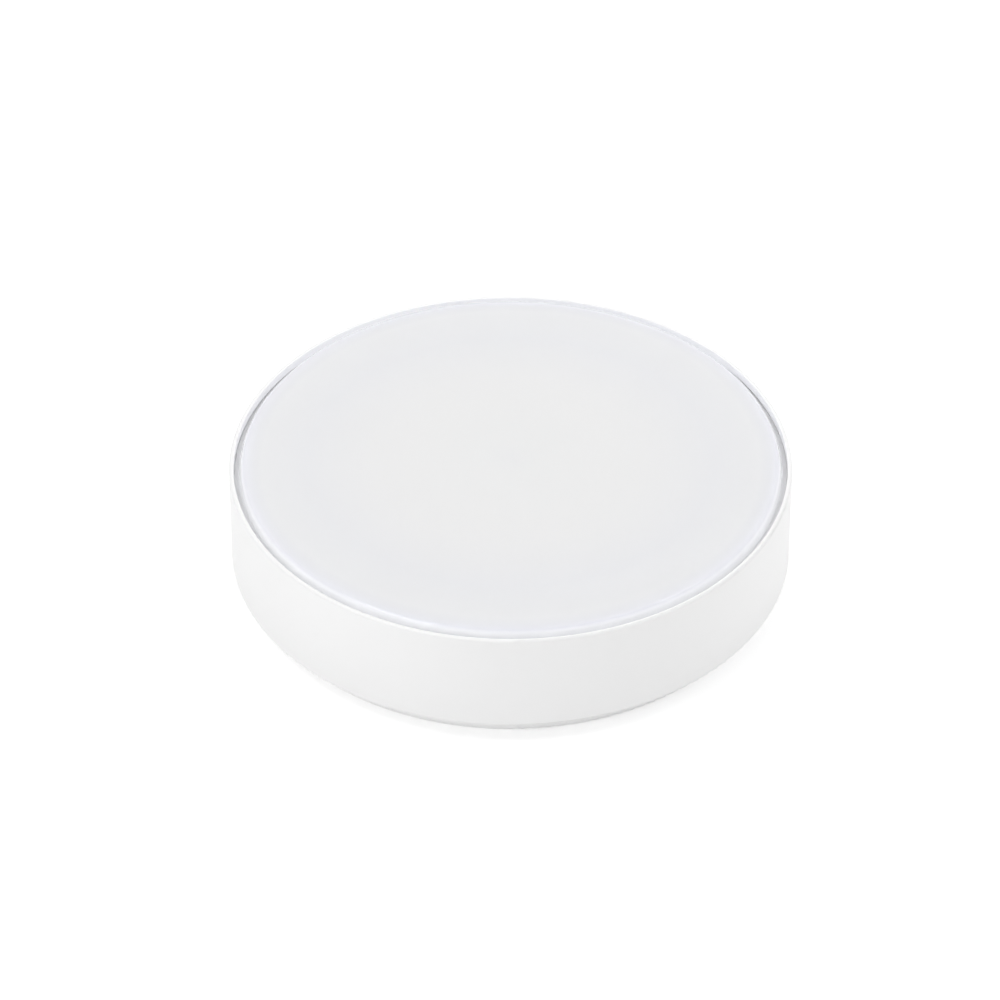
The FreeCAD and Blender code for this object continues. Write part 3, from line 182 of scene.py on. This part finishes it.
# Plain moulded, coated or sheet finishes: a colour that clouds a little, over a texture of a real grain
# size. Stretch squeezes the grain along an axis, for rolled, turned, woven and wrapped surfaces.
def clouded(name, hexText, roughness, grainMm, depthMm=0.05, shade=0.9, metallic=0.0, ior=1.5,
            stretch=(1, 1, 1)):
    material, tree = newMaterial(name)
    where = addNode(tree, "TexCoord").outputs["Object"]
    drawn = addNode(tree, "Mapping", {"Scale": stretch}, {"Vector": where})
    grain = addNode(tree, "TexNoise", {"Scale": 1 / (grainMm * millimetre), "Detail": 4.0},
                    {"Vector": drawn.outputs["Vector"]})
    tone = addNode(tree, "ValToRGB", links={"Fac": grain.outputs["Fac"]},
                   stops=[(0.3, shaded(hexText, shade)), (0.7, linear(hexText))]).outputs["Color"]
    bump = addNode(tree, "Bump", {"Strength": 0.25, "Distance": depthMm * millimetre},
                   {"Height": grain.outputs["Fac"]})
    rough = addNode(tree, "MapRange", {"To Min": max(roughness - 0.07, 0.02), "To Max": roughness + 0.07},
                    {"Value": grain.outputs["Fac"]})
    shader = addNode(tree, "BsdfPrincipled", {"IOR": ior, "Metallic": metallic},
                     {"Base Color": tone, "Roughness": rough.outputs["Result"]})
    return finish(material, tree, shader, bump)


# One finish for each material slot. The note above each says what it gives the eye.
finishes = {
    # satin white outside, and inside the rim a whiter coat: in part a reflector coat, in part painted light that
    # lifts the shade on the inner wall
    "drum_coat": powderCoat("powderCoatSatinWhite", "F5F5F5", 0.42, inside=("FEFEFE", 88.9)),
    # the same satin white, a shade brighter: painted light that lifts the shade under the drum's overhang
    "plate_coat": powderCoat("powderCoatPlate", "FBFBFB", 0.45),
    # glossier white with a coarser peel, which throws the light forward
    "tray_coat": powderCoat("reflectorCoatGloss", "F3F3F3", 0.25, peelMm=2.2),
    "opal_plastic": opalAcrylic("opalAcrylicPolished"),
    # bright and faintly blue
    "zinc_steel": clouded("steelZincPlated", "C9CBCE", 0.3, 0.8, metallic=1.0),
    # grey, with fine lines along the strip
    "spring_steel": clouded("springSteelRolled", "AEB0B2", 0.34, 0.5, metallic=1.0, stretch=(1, 1, 12)),
    # pale and slightly dull
    "aluminium": clouded("aluminiumRivet", "D4D5D7", 0.38, 0.6, metallic=1.0),
    # off-white with open pores
    "seal_foam": clouded("closedCellFoam", "E4E4E1", 0.9, 0.5, depthMm=0.3, shade=0.8),
    # matt black with a slight bloom
    "black_rubber": clouded("nitrileRubberMoulded", "26262A", 0.62, 0.7, shade=0.8),
    # soft blue-grey
    "pad_silicone": clouded("siliconePad", "B4BAC2", 0.7, 0.9, shade=0.93),
    # printed white lacquer, smooth with a slow wave
    "board_mask": clouded("solderMaskWhite", "F4F4F1", 0.35, 6.0, depthMm=0.02, shade=0.97),
    # yellow phosphor under clear silicone
    "chip_plastic": clouded("phosphorSilicone", "EFD591", 0.3, 1.0, shade=0.85),
    # warm white, lightly waxy
    "connector_plastic": clouded("nylonConnector", "F0EEE4", 0.45, 0.8),
    # cool white with a fine mould texture
    "case_plastic": clouded("polycarbonateCase", "E6E6E3", 0.5, 0.4, depthMm=0.04),
    # green lacquer over the glass weave
    "green_board": clouded("glassEpoxyBoard", "2D7A4A", 0.35, 1.2, shade=0.8, stretch=(1, 6, 1)),
    # near black and stony
    "ferrite": clouded("ferriteSintered", "3A3A3E", 0.55, 0.4, shade=0.75),
    # glossy yellow with the lines of its wraps
    "winding_tape": clouded("polyesterTape", "E8C64A", 0.3, 3.0, shade=0.88, stretch=(1, 1, 5)),
    # glossy blue-black, drawn tight
    "capacitor_sleeve": clouded("shrinkSleeve", "20242F", 0.3, 2.0, shade=0.8),
    # matt black with a sandy grain
    "chip_epoxy": clouded("mouldedEpoxy", "232325", 0.55, 0.3, shade=0.8),
    # unglazed cream
    "fuse_ceramic": clouded("ceramicTube", "E4E0D2", 0.4, 0.6),
    # buff, with fibres that run one way
    "insulating_paper": clouded("pressedPaper", "DBD7C6", 0.8, 0.7, shade=0.85, stretch=(1, 5, 1)),
    # milky white, slightly waxy
    "block_nylon": clouded("nylonStrip", "F0EEE8", 0.42, 0.8),
    # yellow metal with turning marks
    "brass": clouded("brassTurned", "D9BC77", 0.25, 0.4, metallic=1.0, stretch=(1, 8, 1)),
    # soft silver
    "tinned_brass": clouded("brassTinned", "CFCFCB", 0.3, 0.6, metallic=1.0),
    # extruded insulation, silky, with a faint mottle
    "black_lead": clouded("siliconeLeadBlack", "222224", 0.45, 1.5, shade=0.85),
    "white_lead": clouded("siliconeLeadWhite", "ECECEA", 0.45, 1.5),
    "green_lead": clouded("siliconeLeadGreen", "3B8C46", 0.45, 1.5, shade=0.85),
    "red_lead": clouded("siliconeLeadRed", "B3231F", 0.45, 1.5, shade=0.85),
}

slotOf = {row["node"]: row["material_slot"] for row in frame["record"]["subparts"]}
for node, item in nodes.items():
    item.data.materials.clear()
    item.data.materials.append(finishes[slotOf[node]])
print("finishes on", len(nodes), "nodes")


# Diffuser, turned from one outline in millimetres. Its flange closes on the drum's wall, so no slit shows.

diffuser = {
    "segments": 360, "crownSteps": 16, "shoulderSteps": 8, "sharpAboveDegrees": 35,
    "top": 42.8, "crown": 0.7, "faceEdge": 84.7, "wall": 2.0,
    "shoulder": 1.5, "shoulderTurnDegrees": 79,
    "insideFaceEdge": (83.6, 40.1), "insideCorner": [(84.6, 39.1), (84.2, 39.7)],
    "sideFoot": [(86.6, 39.3), (86.75, 38.8), (87.1, 38.56), (87.6, 38.5)],  # hollow round into the flange
    "flangeReach": 88.51, "flangeTop": 38.5, "flangeFoot": 36.7,
    "skirt": 86.6, "skirtFoot": 9.8,
    "beadReach": 83.4, "beadLevels": (15.8, 16.2, 16.6, 17.0),
}


# A shallow dome from the axis to its edge.
def crown(edge, top):
    radius, rim = edge
    shares = [k / diffuser["crownSteps"] for k in range(1, diffuser["crownSteps"] + 1)]
    return [(radius * share, top - (top - rim) * share ** 2) for share in shares]


def turned(name, outline, count):
    form = bmesh.new()
    poles = [form.verts.new((0, 0, level * millimetre)) for level in (outline[0][1], outline[-1][1])]
    turns = [2 * math.pi * k / count for k in range(count)]
    rings = []
    for radius, level in outline[1:-1]:
        reach, height = radius * millimetre, level * millimetre
        rings.append([form.verts.new((reach * math.cos(turn), reach * math.sin(turn), height)) for turn in turns])
    for k in range(count):
        after = (k + 1) % count
        form.faces.new((poles[0], rings[0][k], rings[0][after]))
        form.faces.new((rings[-1][k], poles[1], rings[-1][after]))
        for near, far in zip(rings, rings[1:]):
            form.faces.new((near[k], far[k], far[after], near[after]))
    mesh = bpy.data.meshes.new(name)
    form.to_mesh(mesh)
    form.free()
    mesh.shade_smooth()
    mesh.set_sharp_from_angle(angle=math.radians(diffuser["sharpAboveDegrees"]))
    item = bpy.data.objects.new(name, mesh)
    bpy.context.scene.collection.objects.link(item)
    return item


def makeDiffuser():
    top, bend = diffuser["top"], diffuser["shoulder"]
    faceEdge = (diffuser["faceEdge"], top - diffuser["crown"])
    outline = [(0, top)] + crown(faceEdge, top)
    for k in range(1, diffuser["shoulderSteps"] + 1):
        turn = k / diffuser["shoulderSteps"] * math.radians(diffuser["shoulderTurnDegrees"])
        outline.append((faceEdge[0] + bend * math.sin(turn), faceEdge[1] - bend * (1 - math.cos(turn))))
    outline += diffuser["sideFoot"]
    outline += [(diffuser["flangeReach"], diffuser[level]) for level in ("flangeTop", "flangeFoot")]
    outline += [(diffuser["skirt"], diffuser[level]) for level in ("flangeFoot", "skirtFoot")]
    inside = diffuser["skirt"] - diffuser["wall"]
    beadReaches = (inside, diffuser["beadReach"], diffuser["beadReach"], inside)
    outline += [(inside, diffuser["skirtFoot"])] + list(zip(beadReaches, diffuser["beadLevels"]))
    outline += diffuser["insideCorner"]
    insideTop = top - diffuser["wall"]
    outline += crown(diffuser["insideFaceEdge"], insideTop)[::-1] + [(0, insideTop)]
    piece = turned("opalMoulding", outline, diffuser["segments"])
    piece.data.materials.append(finishes["opal_plastic"])
    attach(piece, "root")
    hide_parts("diffuser")


makeDiffuser()
print("diffuser made")


# Studio: a white floor that holds the shadow, a white surround, two softboxes that the gloss shows and fills

studio = {
    "floorRadius": 3.0, "floorSegments": 96, "floorColour": "F5F5F5", "floorLift": 0.33, "surround": 0.4,
    "lampAim": (0, 0, 0.02), "fillSize": (0.8, 0.8),
}
softboxes = {  # place, size, watts
    "softboxLeft": ((-0.69, -0.30, 1.27), (0.64, 0.3), 4.3),
    "softboxBack": ((0.49, 0.57, 1.3), (0.15, 0.2), 0.5),
}
fills = {  # place, watts
    "fillBack": ((0, 0.9, 1.2), 6.1),
    "fillRight": ((0.9, 0, 1.2), 4.1),
    "lowLeft": ((-1.0, -0.9, 0.45), 4.0),
    "lowFront": ((0, -1.4, 0.45), 1.4),
    "lowRight": ((1.0, -0.9, 0.45), 0.9),
    "sideRight": ((1.3, 0, 0.45), 1.8),
}


def makeFloor():
    mesh = bpy.data.meshes.new("studioFloor")
    disc = bmesh.new()
    bmesh.ops.create_circle(disc, cap_ends=True, segments=studio["floorSegments"], radius=studio["floorRadius"])
    disc.to_mesh(mesh)
    disc.free()
    floor = bpy.data.objects.new("studioFloor", mesh)
    bpy.context.scene.collection.objects.link(floor)
    material, tree = newMaterial("whiteSweep")
    rays = addNode(tree, "LightPath")
    seen = addNode(tree, "Math", links={0: rays.outputs["Is Camera Ray"], 1: rays.outputs["Is Glossy Ray"]},
                   operation="MAXIMUM")
    lift = addNode(tree, "Math", {1: studio["floorLift"]}, {0: seen.outputs["Value"]}, operation="MULTIPLY")
    glow = addNode(tree, "Emission", links={"Strength": lift.outputs["Value"]})
    matt = addNode(tree, "BsdfDiffuse", {"Color": linear(studio["floorColour"])})
    both = addNode(tree, "AddShader", links={0: glow.outputs["Emission"], 1: matt.outputs["BSDF"]})
    addNode(tree, "OutputMaterial", links={"Surface": both.outputs["Shader"]})
    mesh.materials.append(material)


# The camera, gloss and clear plastic see pure white, and the light on the object is lower.
def makeSurround():
    world = bpy.data.worlds.new("studioWhite")
    bpy.context.scene.world = world
    world.use_nodes = True
    tree = world.node_tree
    tree.nodes.clear()
    rays = addNode(tree, "LightPath")
    cameraOrGlossy = addNode(tree, "Math", operation="MAXIMUM", links={
        0: rays.outputs["Is Camera Ray"], 1: rays.outputs["Is Glossy Ray"],
    })
    seen = addNode(tree, "Math", operation="MAXIMUM", links={
        0: cameraOrGlossy.outputs["Value"], 1: rays.outputs["Is Transmission Ray"],
    })
    strength = addNode(tree, "MapRange", {"To Min": studio["surround"], "To Max": 1.0},
                       {"Value": seen.outputs["Value"]})
    white = addNode(tree, "Background", {"Color": (1, 1, 1, 1)}, {"Strength": strength.outputs["Result"]})
    addNode(tree, "OutputWorld", links={"Surface": white.outputs["Background"]})


def makeLamp(name, spot, size, watts, shows):
    data = bpy.data.lights.new(name, "AREA")
    data.shape = "RECTANGLE"
    data.size, data.size_y = size
    data.energy = watts
    lamp = bpy.data.objects.new(name, data)
    lamp.location = spot
    lamp.rotation_euler = (Vector(studio["lampAim"]) - Vector(spot)).to_track_quat("-Z", "Y").to_euler()
    lamp.visible_glossy = shows
    bpy.context.scene.collection.objects.link(lamp)


makeFloor()
makeSurround()
for name, (spot, size, watts) in softboxes.items():
    makeLamp(name, spot, size, watts, shows=True)
for name, (spot, watts) in fills.items():
    makeLamp(name, spot, studio["fillSize"], watts, shows=False)
print("studio made")


# Camera, aimed level with the drum's rim from the photograph's angle

view = {
    "aim": (-0.0034, -0.0073, 0.0314), "distance": 1.789, "elevationDegrees": 38.305,
    "lensMm": 201.56, "sensorMm": 36, "clipNear": 0.01, "clipFar": 50,
}


def makeCamera():
    data = bpy.data.cameras.new("camera")
    data.lens = view["lensMm"]
    data.sensor_width = view["sensorMm"]
    data.clip_start, data.clip_end = view["clipNear"], view["clipFar"]
    camera = bpy.data.objects.new("camera", data)
    tilt = math.radians(view["elevationDegrees"])
    back = Vector((0, -math.cos(tilt), math.sin(tilt)))
    camera.location = Vector(view["aim"]) + back * view["distance"]
    camera.rotation_euler = (-back).to_track_quat("-Z", "Y").to_euler()
    bpy.context.scene.collection.objects.link(camera)
    bpy.context.scene.camera = camera


makeCamera()
bpy.context.scene.view_settings.view_transform = "Standard"
print("camera made")
